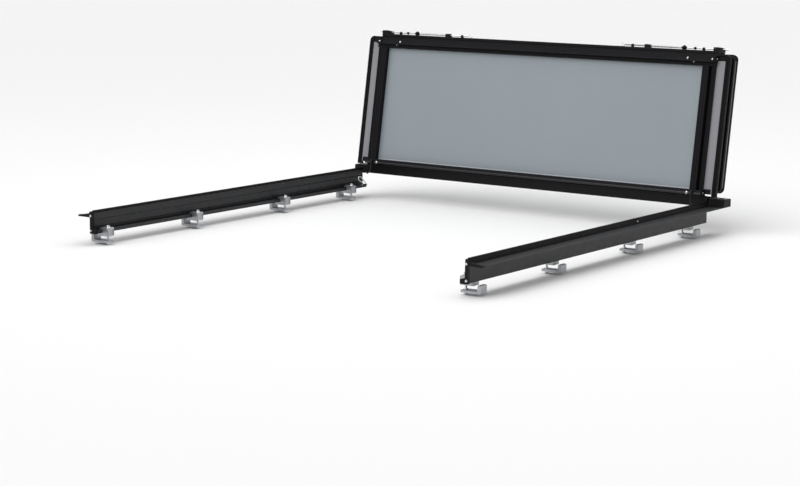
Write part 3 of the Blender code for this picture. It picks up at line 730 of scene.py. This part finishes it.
def pair_frame():
    """Ridges, plugs and screws on the bars of the middle and rear panels."""
    bars = ["middle_panel_hinge_bar", "middle_panel_fold_bar", "rear_panel_fold_bar", "tail_bar"]
    refinish(bars, "bar_x", 0.0005)
    for panel, top_bar, low_bar in (
        (MIDDLE, "middle_panel_hinge_bar", "middle_panel_fold_bar"),
        (REAR, "tail_bar", "rear_panel_fold_bar"),
    ):
        top_low, top_high = local_box(top_bar)
        low_high = local_box(low_bar)[1]
        lines = []
        for low, high in ((top_low.z, top_high.z - 0.004), (low_high.z - 0.0170, low_high.z)):
            lines += [(BAR_DEPTH, low + 0.0022, 0.0014, 0.0010), (BAR_DEPTH, high - 0.0022, 0.0014, 0.0010)]
            lines += [(BAR_DEPTH, (low + high) / 2, 0.0030, 0.0018)]
        ridges(panel.name + "_bar_ridges", panel, lines, BAR_END - 0.0010)
        head = 0.0052 if panel is MIDDLE else 0.0036  # the rear panel lies 3 mm from the front one
        for side, word in SIDES:
            title = "%s_top_plug_%s" % (panel.name, word)
            bar_plug(title, panel, side, top_low.z + 0.001, top_low.z + 0.0185)
            title = "%s_fold_plug_%s" % (panel.name, word)
            bar_plug(title, panel, side, low_high.z - 0.0165, low_high.z - 0.0005)
            for index, z in enumerate((top_low.z + 0.0075, low_high.z - 0.0080)):
                origin = (side * 0.7515, panel.depth(BAR_DEPTH), z)
                normal = (0.0, panel.under, 0.0)
                title = "%s_bar_screw_%s_%d" % (panel.name, word, index + 1)
                screw(title, panel.body, STACK, origin, normal, head)
    seal_low = local_box("tail_bar")[1].z
    work = bmesh.new()
    y = REAR.depth(0.0)
    outline = [(y - 0.0030, seal_low - 0.008), (y - 0.0030, seal_low + 0.004)]
    outline += arc((y - 0.0062, seal_low + 0.0045), 0.0032, 0.0, 180.0, 8)
    outline += [(y - 0.0094, seal_low - 0.008)]
    extrude(work, outline, "X", -0.786, 0.786)
    piece_from("tail_seal", work, "rubber", "folded_pair", STACK, 50.0)
    refinish(["fold_hinge_pin"], "zinc")


def pair_liner():
    """The bright edge strip between the middle and rear skins, which shows from the side."""
    for side, word in SIDES:
        work = bmesh.new()
        low, high = MIDDLE.low.z + 0.012, MIDDLE.high.z - 0.006
        near, far = REAR.depth(0.0) + 0.0006, MIDDLE.depth(0.0) - 0.0006
        outline = rounded_box((OUTER - 0.0230, near), (OUTER - 0.0012, far), 0.0006, 2)
        extrude(work, outline, "Z", low, high)
        title = "pair_edge_liner_" + word
        piece_from(title, for_side(work, side), "edge", "folded_pair", STACK)


# ---- wide hinge ----
def wide_hinge():
    """The spacer with its cover strips, latch rods, springs, knobs and end caps."""
    refinish(["wide_hinge_spacer"], "bar_x", 0.0005)
    caps = ["spacer_end_cap_left", "spacer_end_cap_right", "latch_guide_left", "latch_guide_right"]
    refinish(caps, "moulded", 0.0008)
    plate = local_box("wide_hinge_spacer")[1].z
    work = bmesh.new()
    for y in (0.0015, SPACER_PITCH - 0.0015):
        outline = [(y - 0.0045, plate - 0.0003)]
        outline += arc((y, plate + 0.0002), 0.0040, 180.0, 0.0, 10)
        outline = [(a, min(b, plate + 0.0022)) for a, b in outline]
        outline.append((y + 0.0045, plate - 0.0003))
        extrude(work, outline, "X", -0.786, 0.786)
    piece_from("spacer_cover_strips", work, "rubber", "wide_hinge", STACK, 40.0)
    for side, word in SIDES:
        latch(side, word, plate)


def latch(side, word, plate):
    """One latch rod with its pull ring, diamond knob, spring and clips."""
    body = "latch_rod_" + word
    low, high = local_box(body)
    axis_y = (low.y + high.y) / 2
    axis_z = (low.z + high.z) / 2
    inner, tip = sorted((abs(low.x), abs(high.x)))
    guide_low, guide_high = local_box("latch_guide_" + word)
    guide_out = max(abs(guide_low.x), abs(guide_high.x))
    collar = COLLAR_X
    r = 0.0025
    profile = [(r * 0.7, inner), (r, inner + 0.001), (r, tip - 0.004), (r * 0.55, tip)]
    along = facing(STACK, (side, 0.0, 0.0), (0.0, axis_y, axis_z))
    rod = piece_from("latch_bar_" + word, turned(profile, 20), "zinc", body, along, 40.0)
    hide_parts(body)
    knob_profile = []
    for reach, height in ((0.30, -0.0118), (0.36, -0.0112), (0.97, -0.0018), (1.0, -0.0010)):
        knob_profile.append((0.0098 * reach, collar + height))
    knob_profile += [(r_out, 2 * collar - at) for r_out, at in reversed(knob_profile)]
    knob = turned(knob_profile, 32, 8, (2, 3, 4, 5), 0.05)
    piece_from("latch_knob_" + word, knob, "moulded", body, along, 40.0)
    stop = turned([(0.0040, 0.668), (0.0052, 0.670), (0.0052, 0.676), (0.0040, 0.678)], 20)
    piece_from("latch_stop_" + word, stop, "moulded", body, along, 35.0)
    ring = []
    for i in range(28):
        angle = 2 * math.pi * i / 28
        x = side * (inner + 0.0015 - 0.0075 - 0.0075 * math.cos(angle))
        ring.append(Vector((x, axis_y, axis_z + 0.0060 * math.sin(angle))))
    loop = tube(ring, 0.0010, 8, closed=True)
    piece_from("latch_pull_ring_" + word, loop, "zinc", body, STACK)
    turns = 17
    start = guide_out + 0.0008
    end = collar - 0.0125
    coil = []
    for i in range(turns * 12 + 1):
        angle = 2 * math.pi * i / 12
        x = side * (start + (end - start) * i / (turns * 12))
        coil.append(Vector((x, axis_y + 0.0041 * math.cos(angle), axis_z + 0.0041 * math.sin(angle))))
    work = tube(coil, 0.0007, 6)
    spring = piece_from("latch_spring_" + word, work, "zinc", "wide_hinge", STACK, 60.0)
    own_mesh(spring)
    for index, x in enumerate((0.710, 0.400)):
        work = bmesh.new()
        outline = [(axis_y - 0.0075, plate - 0.0002), (axis_y - 0.0075, plate + 0.0018)]
        outline += [(axis_y - 0.0048, plate + 0.0018)]
        outline += arc((axis_y, axis_z), 0.0046, 200.0, -20.0, 12)
        outline += [(axis_y + 0.0048, plate + 0.0018), (axis_y + 0.0075, plate + 0.0018)]
        outline += [(axis_y + 0.0075, plate - 0.0002), (axis_y + 0.0036, plate - 0.0002)]
        outline += arc((axis_y, axis_z), 0.0031, -20.0, 200.0, 12)
        outline += [(axis_y - 0.0036, plate - 0.0002)]
        extrude(work, outline, "X", x - 0.0045, x + 0.0045)
        title = "rod_clip_%s_%d" % (word, index + 1)
        piece_from(title, for_side(work, side), "moulded", "wide_hinge", STACK)
    cap_low, cap_high = local_box("spacer_end_cap_" + word)
    for index, y in enumerate((cap_low.y + 0.008, cap_high.y - 0.008)):
        origin = (side * (abs(cap_high.x + cap_low.x) / 2), y, cap_high.z)
        title = "spacer_cap_screw_%s_%d" % (word, index + 1)
        screw(title, "wide_hinge", STACK, origin, (0.0, 0.0, 1.0), 0.0032)
    middle = abs(guide_low.x + guide_high.x) / 2
    for index, x in enumerate((middle - 0.0065, middle + 0.0065)):
        origin = (side * x, guide_low.y + 0.0035, guide_high.z - 0.0012)
        title = "latch_guide_screw_%s_%d" % (word, index + 1)
        screw(title, "wide_hinge", STACK, origin, (0.0, 0.0, 1.0), 0.0022)


# ---- stay hooks ----
def stay_hook(side, word):
    """The bent round rod at the front panel's lower corner, on its shoulder screw."""
    name = "stay_hook_" + word
    hinge = STACK.inverted() @ Vector(JOINTS[name + "_swing"]["pos_m"])
    x, z = hinge.x, hinge.z
    y = local_box(name)[0].y + 0.0026
    route = [(0.0, -0.004), (0.0, -0.016), (0.0, -0.030), (0.003, -0.041), (0.010, -0.0515)]
    route += [(0.0165, -0.0535), (0.0208, -0.0485)]
    points = [Vector((x + side * a, y, z + b)) for a, b in route]
    work = tube(smooth_path(points, 6), 0.0026, 14)
    rod = piece_from(name + "_rod", work, "black_zinc", name, STACK, 50.0)
    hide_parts(name)
    eye = [(0.0028, -0.0030), (0.0060, -0.0030), (0.0062, -0.0024), (0.0062, 0.0024), (0.0060, 0.0030)]
    eye.append((0.0028, 0.0030))
    rings = []
    for i in range(28):
        angle = 2 * math.pi * i / 28
        rings.append([Vector((r * math.cos(angle), r * math.sin(angle), h)) for r, h in eye])
    place = facing(STACK, (0.0, -1.0, 0.0), (x, y, z))
    piece_from(name + "_eye", loft(bmesh.new(), rings, True), "black_zinc", name, place, 30.0)
    head = (x, y - 0.0031, z)
    screw(name + "_screw", name, STACK, head, (0.0, -1.0, 0.0), 0.0042, "black_zinc")


def wire_clip(side, word):
    """The bright bent wire beside the header corner, its ends hooked over the rail's ledge."""
    route = [(0.7900, -0.0560, -0.0500), (0.7840, -0.0565, -0.0495), (0.7800, -0.0600, -0.0465)]
    route += [(0.7795, -0.0820, -0.0285), (0.7795, -0.1030, -0.0110), (0.7795, -0.1090, -0.0075)]
    route += [(0.7795, -0.1175, -0.0095), (0.7795, -0.1215, -0.0165), (0.7795, -0.1190, -0.0215)]
    route += [(0.7800, -0.1020, -0.0300), (0.7800, -0.0880, -0.0370), (0.7820, -0.0850, -0.0390)]
    route += [(0.7860, -0.0845, -0.0440), (0.7900, -0.0845, -0.0490)]
    points = smooth_path([(side * x, y, z) for x, y, z in route], 5)
    wire = tube(points, 0.0021, 12)
    piece_from("corner_wire_clip_" + word, wire, "zinc", "rails", WORLD, 50.0)


# ---- rails ----
def side_rail(side, word):
    """Ribs, lips, seal and end cap details of one side rail."""
    refinish(["side_rail_" + word], "rail", 0.0006)
    refinish(["rail_end_cap_" + word, "corner_bracket_" + word], "moulded", 0.0010)
    low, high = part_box("side_rail_" + word)
    flange_out = max(abs(low[0]), abs(high[0]))
    ledge_in = min(abs(low[0]), abs(high[0]))
    start, end = low[1] + 0.0004, high[1] - 0.0004
    web_top = high[2]
    work = bmesh.new()
    for index in range(6):
        x = WEB_OUT + 0.0085 + index * 0.0085
        outline = [(x - 0.0014, FLANGE_TOP - 0.0003)]
        outline += arc((x, FLANGE_TOP - 0.0002), 0.0012, 180.0, 0.0, 6)
        outline.append((x + 0.0014, FLANGE_TOP - 0.0003))
        extrude(work, outline, "Y", start, end)
    lip = [(flange_out - 0.0040, FLANGE_TOP - 0.0003)]
    lip += arc((flange_out - 0.0018, FLANGE_TOP + 0.0002), 0.0017, 180.0, 0.0, 8)
    lip.append((flange_out - 0.0001, 0.0004))
    extrude(work, lip, "Y", start, end)
    title = "rail_flange_ribs_" + word
    piece_from(title, for_side(work, side), "rail", "rails", WORLD, 50.0)
    work = bmesh.new()
    ribs = ((web_top - 0.0035, 0.0030, 0.0016), (-0.0100, 0.0020, 0.0014), (-0.0340, 0.0024, 0.0016))
    for z, tall, proud in ribs:
        outline = [(WEB_IN + 0.0003, z - tall)]
        for step in range(9):
            angle = math.radians(-90.0 + 180.0 * step / 8)
            outline.append((WEB_IN - proud * math.cos(angle), z + tall * math.sin(angle)))
        outline.append((WEB_IN + 0.0003, z + tall))
        extrude(work, outline, "Y", start, end)
    edge = [(ledge_in + 0.0030, -0.0458)]
    edge += arc((ledge_in + 0.0015, -0.0460), 0.0019, 0.0, 180.0, 8)
    edge.append((ledge_in - 0.0002, -0.0475))
    edge.append((ledge_in + 0.0030, -0.0475))
    extrude(work, edge, "Y", start, end)
    title = "rail_web_ribs_" + word
    piece_from(title, for_side(work, side), "gloss", "rails", WORLD, 50.0)
    seal_low, seal_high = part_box("rail_seal_" + word)
    inner, outer = sorted((abs(seal_low[0]), abs(seal_high[0])))
    middle = (inner + outer) / 2
    foot, top = seal_low[2], seal_high[2]
    outline = [(inner, foot), (outer, foot), (outer + 0.0002, foot + 0.0012), (outer - 0.0022, foot + 0.0022)]
    for step in range(9):
        angle = math.radians(-15.0 + 210.0 * step / 8)
        outline.append((middle + 0.0047 * math.cos(angle), foot + 0.0031 + 0.0029 * math.sin(angle)))
    outline += [(inner + 0.0022, foot + 0.0022), (inner - 0.0002, foot + 0.0012)]
    outline = [(a, min(b, top)) for a, b in outline]
    work = extrude(bmesh.new(), outline, "Y", seal_low[1], seal_high[1])
    title = "rail_bulb_seal_" + word
    bulb = piece_from(title, for_side(work, side), "rubber", "rails", WORLD, 50.0)
    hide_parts("rail_seal_" + word)
    cap_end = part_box("rail_end_cap_" + word)[0][1]
    for index, z in enumerate((-0.0480, 0.0060)):
        origin = (side * (WEB_IN + 0.0020), cap_end, z)
        screw("rail_cap_screw_%s_%d" % (word, index + 1), "rails", WORLD, origin, (0.0, -1.0, 0.0), 0.0034)
    bracket_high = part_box("corner_bracket_" + word)[1]
    for index, (x, y) in enumerate(((0.8220, bracket_high[1] - 0.020), (0.8560, bracket_high[1] - 0.020))):
        origin = (side * x, y, bracket_high[2])
        screw("bracket_screw_%s_%d" % (word, index + 1), "rails", WORLD, origin, (0.0, 0.0, 1.0), 0.0058)


def header():
    """The header rail with its foam seal and the ribs on its box."""
    refinish(["header_rail"], "header", 0.0006)
    low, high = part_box("header_rail")
    work = bmesh.new()
    top = HEADER_BOX_TOP
    for y in (-0.0120, 0.0020, 0.0160, 0.0290):
        outline = [(y - 0.0016, top - 0.0003)]
        outline += arc((y, top - 0.0002), 0.0014, 180.0, 0.0, 6)
        outline.append((y + 0.0016, top - 0.0003))
        extrude(work, outline, "X", low[0] + 0.0005, high[0] - 0.0005)
    piece_from("header_box_ribs", work, "header", "rails", WORLD, 50.0)
    back = high[1]
    outline = [(back - 0.0002, 0.0030), (back + 0.0040, 0.0045)]
    outline += arc((back + 0.0045, 0.0150), 0.0045, -80.0, 80.0, 8)
    outline += [(back + 0.0040, 0.0255), (back - 0.0002, 0.0270)]
    work = extrude(bmesh.new(), outline, "X", low[0] + 0.002, high[0] - 0.002)
    piece_from("header_foam_seal", work, "foam", "rails", WORLD, 50.0)


# ---- clamps ----
def hexagon(radius, z):
    """The six corners of a hexagon at that height."""
    corners = [i * math.pi / 3 for i in range(6)]
    return [Vector((radius * math.cos(a), radius * math.sin(a), z)) for a in corners]


def threaded_bolt(head_low, top, radius=0.0040, pitch=0.00150):
    """A hexagon-headed bolt, turned about z, with a helical thread above its head."""
    work = bmesh.new()
    head = [(0.0068, head_low), (0.0075, head_low + 0.0008), (0.0075, head_low + 0.0064)]
    loft(work, [hexagon(r, z) for r, z in head])
    segments = 18
    start = head_low + 0.0060
    count = int((top - start) / (pitch / 4))
    rings = []
    for level in range(count + 1):
        z = start + (top - start) * level / count
        ring = []
        for i in range(segments):
            phase = (z / pitch - i / segments) % 1.0
            depth = 0.00045 * abs(2 * phase - 1)
            angle = 2 * math.pi * i / segments
            r = radius - depth
            if level == count:
                r = radius * 0.72
            ring.append(Vector((r * math.cos(angle), r * math.sin(angle), z)))
        rings.append(ring)
    return loft(work, rings)


def hexagon_nut(low, high, across):
    """A hexagon nut, turned about z, its corners chamfered."""
    levels = ((0.93, low), (1.0, low + 0.0008), (1.0, high - 0.0008), (0.93, high))
    return loft(bmesh.new(), [hexagon(across * share, z) for share, z in levels])


def clamp(side, word, index):
    """One rail clamp: cast body and jaw, threaded bolt, washer, nut and pads."""
    suffix = "%s_%d" % (word, index)
    refinish(["clamp_body_" + suffix, "clamp_jaw_" + suffix], "cast", 0.0014)
    jaw_body = "clamp_jaw_" + suffix
    bolt_low, bolt_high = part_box("clamp_bolt_" + suffix)
    x = (bolt_low[0] + bolt_high[0]) / 2
    y = (bolt_low[1] + bolt_high[1]) / 2
    place = Matrix.Translation((x, y, 0.0))
    work = threaded_bolt(bolt_low[2], bolt_high[2])
    bolt = piece_from("clamp_stud_" + suffix, work, "zinc", jaw_body, place, 40.0)
    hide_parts("clamp_bolt_" + suffix)
    body_low, body_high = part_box("clamp_body_" + suffix)
    jaw_low, jaw_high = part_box("clamp_jaw_" + suffix)
    origin = (x, y, jaw_low[2] + 0.0081)
    washer("clamp_washer_" + suffix, jaw_body, WORLD, origin, (0.0, 0.0, 1.0), 0.0085, 0.0043)
    nut = hexagon_nut(jaw_low[2] + 0.0093, jaw_low[2] + 0.0113, 0.0074)
    piece_from("clamp_nut_" + suffix, nut, "zinc", jaw_body, place, 30.0)
    collar = [(0.0046, 0.0), (0.0088, 0.0), (0.0090, 0.0010), (0.0078, 0.0022), (0.0082, 0.0030)]
    collar += [(0.0082, 0.0055), (0.0070, 0.0076), (0.0055, 0.0082), (0.0046, 0.0082)]
    rings = []
    for i in range(36):
        angle = 2 * math.pi * i / 36
        grip = 1.0 if i % 2 else 0.965
        ring = []
        for r, h in collar:
            reach = r * grip if 0.0025 < h < 0.0060 else r
            ring.append(Vector((reach * math.cos(angle), reach * math.sin(angle), h)))
        rings.append(ring)
    nut_place = Matrix.Translation((x, y, body_high[2] - 0.0002))
    title = "clamp_thumb_nut_" + suffix
    piece_from(title, loft(bmesh.new(), rings, True), "zinc", "rails", nut_place, 40.0)
    work = bmesh.new()
    ends = (body_low[1] + 0.0001, body_high[1] - 0.0001)
    for rib_y in (ends[0] + 0.0015, ends[1] - 0.0045):
        rib = [(0.7640, -0.0685), (0.7614, -0.0660), (0.7614, -0.0450), (0.7640, -0.0425)]
        extrude(work, rib, "Y", rib_y, rib_y + 0.0030)
    title = "clamp_ribs_" + suffix
    piece_from(title, for_side(work, side), "cast", "rails", WORLD, 30.0, 0.0005)
    work = bmesh.new()
    pad_top = jaw_high[2]
    for step in range(5):
        centre = jaw_low[1] + 0.0045 + step * 0.0068
        foot = pad_top - 0.0004
        tooth = [(centre - 0.0024, foot), (centre, pad_top + 0.0011), (centre + 0.0024, foot)]
        outer = max(abs(jaw_low[0]), abs(jaw_high[0]))
        extrude(work, tooth, "X", outer - 0.0106, outer - 0.0006)
    title = "clamp_teeth_" + suffix
    piece_from(title, for_side(work, side), "cast", jaw_body, WORLD, 20.0)


# ---- build ----
refinish(["front_panel_skin"], FRONT.paint())
front_frame()
pair_frame()
pair_liner()
panel_skin(MIDDLE)
panel_skin(REAR)
header()
wide_hinge()
for side, word in SIDES:
    trim = edge_trim(FRONT, side, word, 0.0034, CORE + 0.0040, False)
    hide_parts("front_panel_trim_" + word)
    edge_trim(MIDDLE, side, word, -0.0004, CORE + 0.0045, True)
    edge_trim(REAR, side, word, -0.0004, CORE + 0.0045, True)
    for panel in (FRONT, MIDDLE, REAR):
        side_channel(panel, side, word)
    stay_hook(side, word)
    wire_clip(side, word)
    side_rail(side, word)
    for index in range(1, 5):
        clamp(side, word, index)


# ---- stage, light and camera ----
def studio():
    """A pale floor and a soft pale surround."""
    work = bmesh.new()
    bmesh.ops.create_grid(work, x_segments=2, y_segments=2, size=60.0)
    bmesh.ops.translate(work, vec=(0.0, 0.0, cad_low.z - 0.002), verts=work.verts)
    mesh = bpy.data.meshes.new("studio_floor")
    work.to_mesh(mesh)
    work.free()
    floor = bpy.data.objects.new("studio_floor", mesh)
    bpy.context.scene.collection.objects.link(floor)
    material, shader = shader_of("studio_floor", 0.9, specular=0.1)
    shader.inputs["Base Color"].default_value = (0.86, 0.86, 0.86, 1.0)
    mesh.materials.append(material)
    world = bpy.data.worlds.new("studio")
    world.use_nodes = True
    background = world.node_tree.nodes["Background"]
    background.inputs["Color"].default_value = (1.0, 1.0, 1.0, 1.0)
    background.inputs["Strength"].default_value = 0.42
    bpy.context.scene.world = world
    bpy.context.scene.view_settings.view_transform = "Standard"


def sun(name, direction, angle, power):
    """A broad, soft sun shining along a direction."""
    data = bpy.data.lights.new(name, "SUN")
    data.energy = power
    data.angle = math.radians(angle)
    lamp = bpy.data.objects.new(name, data)
    lamp.rotation_euler = Vector(direction).to_track_quat("-Z", "Y").to_euler()
    bpy.context.scene.collection.objects.link(lamp)


def area_light(name, place, target, size, power):
    """A soft square light aimed at a point."""
    data = bpy.data.lights.new(name, "AREA")
    data.energy = power
    data.size = size
    lamp = bpy.data.objects.new(name, data)
    lamp.location = place
    direction = Vector(target) - Vector(place)
    lamp.rotation_euler = direction.to_track_quat("-Z", "Y").to_euler()
    bpy.context.scene.collection.objects.link(lamp)


def camera():
    """The camera for the main view."""
    azimuth, elevation, roll = (math.radians(a) for a in (35.3665, 9.2618, 0.5502))
    back = Vector(
        (
            math.sin(azimuth) * math.cos(elevation),
            -math.cos(azimuth) * math.cos(elevation),
            math.sin(elevation),
        )
    )
    data = bpy.data.cameras.new("camera")
    data.sensor_width = 36.0
    data.lens = 92.15
    data.clip_end = 200.0
    item = bpy.data.objects.new("camera", data)
    turn = (-back).to_track_quat("-Z", "Y").to_matrix().to_4x4()
    place = Matrix.Translation((4.3078, -6.9820, 1.1045))
    item.matrix_world = place @ turn @ Matrix.Rotation(roll, 4, "Z")
    bpy.context.scene.collection.objects.link(item)
    bpy.context.scene.camera = item


studio()
sun("front_sun", (0.25, 0.75, -1.0), 70.0, 1.80)
sun("back_sun", (-0.2, -0.6, -1.0), 70.0, 0.75)
area_light("overhead", (0.0, -0.6, 4.0), (0.0, -0.4, 0.3), 3.0, 30.0)
camera()
